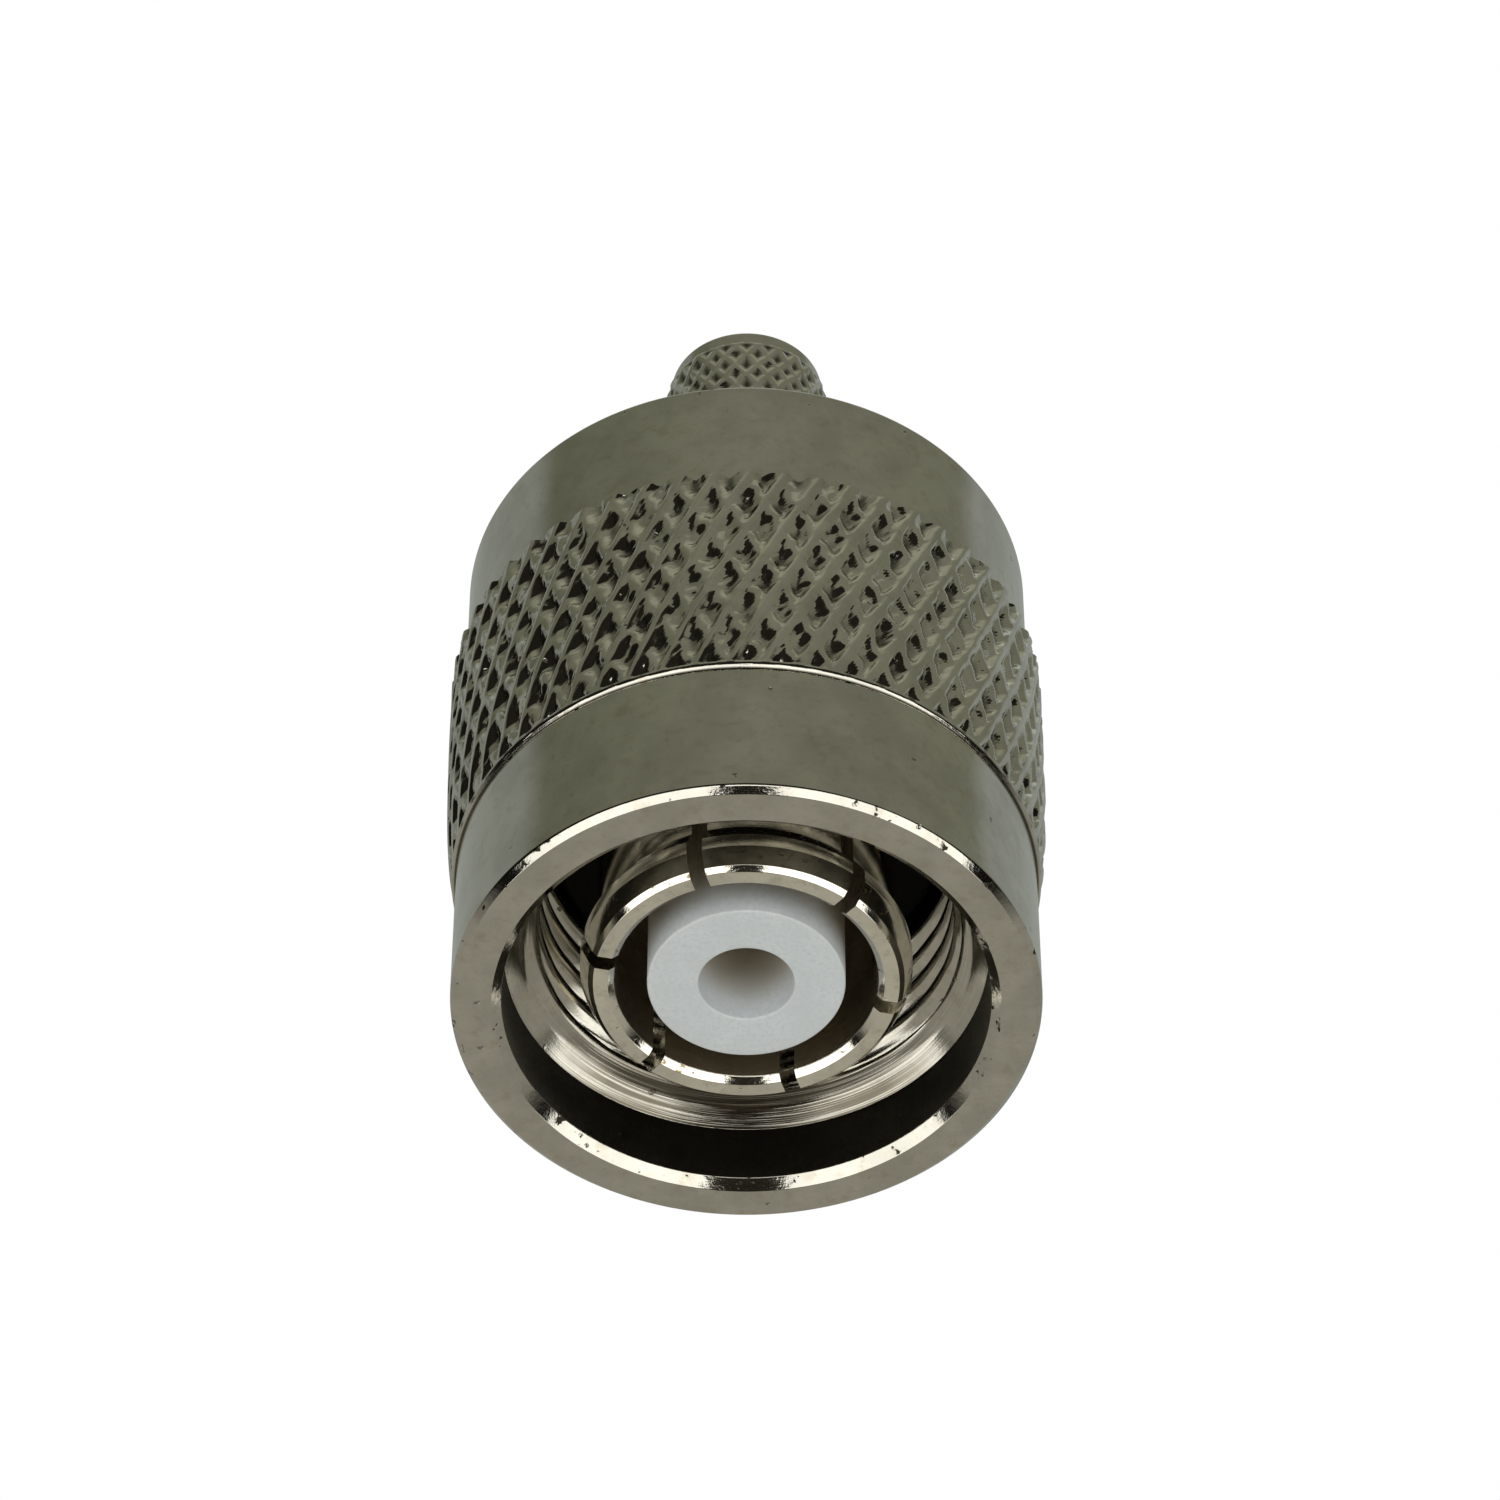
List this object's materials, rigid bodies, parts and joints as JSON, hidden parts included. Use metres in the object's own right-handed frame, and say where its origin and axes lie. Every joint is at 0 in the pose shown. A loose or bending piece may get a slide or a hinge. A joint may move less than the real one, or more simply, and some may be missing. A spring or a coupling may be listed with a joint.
{
  "type": "tnc connector",
  "caption": "Coaxial crimp plug with a knurled, threaded coupling nut turning on a turned body, sprung outer fingers, white insulator and knurled crimp stem.",
  "frame": {"origin": "centre of the coupling nut's mouth face, which is the face that it stands on", "axes": "+Z along the axis from the mouth to the cable end; +X and +Y square to it, with +X turned 12 degrees from one finger slot"},
  "size_m": [0.0152, 0.0152, 0.0245],
  "materials": {
    "nickel_nut": "nickel-plated brass, satin, fine turning marks",
    "nickel_body": "nickel-plated brass, satin",
    "nickel_fingers": "nickel-plated beryllium copper, satin",
    "white_ptfe": "turned PTFE, bluish white, waxy",
    "gold_contact": "gold-plated, smooth",
    "black_rubber": "moulded silicone rubber, matt",
    "spring_steel": "spring steel, plain"
  },
  "bodies": {
    "body": {"connector_body": "nickel_body", "outer_contact": "nickel_fingers", "insulator": "white_ptfe", "center_contact": "gold_contact", "gasket": "black_rubber", "retaining_ring": "spring_steel"},
    "nut": {"coupling_nut": "nickel_nut"}
  },
  "joints": [
    {"name": "nut_spin", "type": "hinge", "parent": "body", "child": "nut", "pos_m": [0, 0, 0], "axis": [0, 0, 1], "continuous": true}
  ]
}
